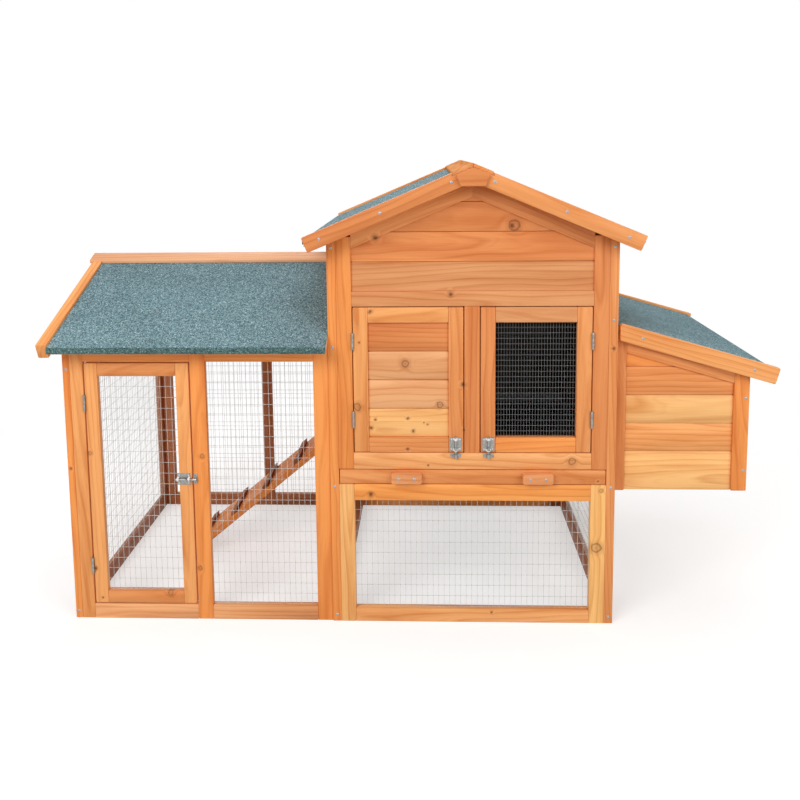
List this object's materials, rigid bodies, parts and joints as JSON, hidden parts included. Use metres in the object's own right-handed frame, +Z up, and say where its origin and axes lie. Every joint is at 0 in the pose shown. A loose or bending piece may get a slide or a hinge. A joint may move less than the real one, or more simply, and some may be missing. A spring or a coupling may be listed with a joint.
{
  "type": "rabbit hutch",
  "caption": "Raised wooden hutch with a gabled house, mesh-sided run with ramp, pull-out tray, latched doors and a side nest box with a lifting lid.",
  "frame": {"origin": "on the floor, under the middle of the whole hutch, roof overhangs included", "axes": "+Z up, the doors face -Y, the run lies towards -X and the nest box towards +X"},
  "size_m": [1.645, 0.76, 1.0512],
  "materials": {
    "stained_fir": "orange-brown stained fir, satin",
    "plain_fir": "lightly stained fir board",
    "roof_felt": "green mineral-surfaced bitumen roofing felt",
    "wire_mesh": "galvanised welded wire",
    "zinc_hardware": "bright zinc plated",
    "screw_zinc": "zinc plated screw heads",
    "tray_steel": "galvanised sheet"
  },
  "bodies": {
    "frame": {"house_front_frame": "stained_fir", "house_back_frame": "stained_fir", "house_left_frame": "stained_fir", "house_right_frame": "stained_fir", "house_left_planks": "stained_fir", "house_right_planks": "stained_fir", "front_gable_planks": "stained_fir", "house_back_planks": "stained_fir", "gable_rails": "stained_fir", "house_roof_boards": "plain_fir", "house_roof_felt": "roof_felt", "house_barge_boards": "stained_fir", "house_ridge_cap": "stained_fir", "house_keystone": "stained_fir", "run_front_frame": "stained_fir", "run_back_frame": "stained_fir", "run_left_frame": "stained_fir", "run_mesh_panels": "wire_mesh", "run_gable_planks": "stained_fir", "run_roof_boards": "plain_fir", "run_roof_felt": "roof_felt", "run_barge_boards": "stained_fir", "run_ridge_cap": "stained_fir", "ramp_board": "stained_fir", "ramp_cleats": "plain_fir", "lower_mesh_panels": "wire_mesh", "tray_runners": "plain_fir", "nest_frame": "stained_fir", "nest_planks": "stained_fir", "nest_floor": "plain_fir", "lid_batten": "stained_fir", "frame_hinge_leaves": "zinc_hardware", "hinge_pins": "zinc_hardware", "bolt_keepers": "zinc_hardware", "frame_screws": "screw_zinc"},
    "run_door": {"run_door_frame": "stained_fir", "run_door_mesh": "wire_mesh", "run_door_hinge_leaves": "zinc_hardware", "run_door_bolt_plate": "zinc_hardware"},
    "run_bolt": {"run_door_bolt": "zinc_hardware"},
    "left_door": {"left_door_frame": "stained_fir", "left_door_planks": "stained_fir", "left_door_hinge_leaves": "zinc_hardware", "left_door_bolt_plate": "zinc_hardware"},
    "left_bolt": {"left_door_bolt": "zinc_hardware"},
    "right_door": {"right_door_frame": "stained_fir", "right_door_mesh": "wire_mesh", "right_door_hinge_leaves": "zinc_hardware", "right_door_bolt_plate": "zinc_hardware"},
    "right_bolt": {"right_door_bolt": "zinc_hardware"},
    "tray": {"tray_front": "stained_fir", "tray_pan": "tray_steel", "tray_handles": "stained_fir", "tray_handle_screws": "screw_zinc"},
    "nest_lid": {"lid_boards": "plain_fir", "lid_felt": "roof_felt", "lid_barge_boards": "stained_fir", "lid_hinge_leaves": "zinc_hardware", "lid_screws": "screw_zinc"}
  },
  "joints": [
    {"name": "run_door_hinge", "type": "hinge", "parent": "frame", "child": "run_door", "pos_m": [-0.731, -0.3258, 0.323], "axis": [0, 0, -1], "range_deg": [0, 110]},
    {"name": "left_door_hinge", "type": "hinge", "parent": "frame", "child": "left_door", "pos_m": [-0.1195, -0.3288, 0.57], "axis": [0, 0, -1], "range_deg": [0, 110]},
    {"name": "right_door_hinge", "type": "hinge", "parent": "frame", "child": "right_door", "pos_m": [0.4105, -0.3288, 0.57], "axis": [0, 0, 1], "range_deg": [0, 110]},
    {"name": "nest_lid_hinge", "type": "hinge", "parent": "frame", "child": "nest_lid", "pos_m": [0.4685, 0.004, 0.69306], "axis": [0, -1, 0], "range_deg": [0, 80]},
    {"name": "tray_slide", "type": "slide", "parent": "frame", "child": "tray", "axis": [0, -1, 0], "range_m": [0, 0.5]},
    {"name": "run_bolt_slide", "type": "slide", "parent": "run_door", "child": "run_bolt", "axis": [-1, 0, 0], "range_m": [0, 0.014]},
    {"name": "left_bolt_slide", "type": "slide", "parent": "left_door", "child": "left_bolt", "axis": [0, 0, 1], "range_m": [0, 0.014]},
    {"name": "right_bolt_slide", "type": "slide", "parent": "right_door", "child": "right_bolt", "axis": [0, 0, 1], "range_m": [0, 0.014]}
  ]
}
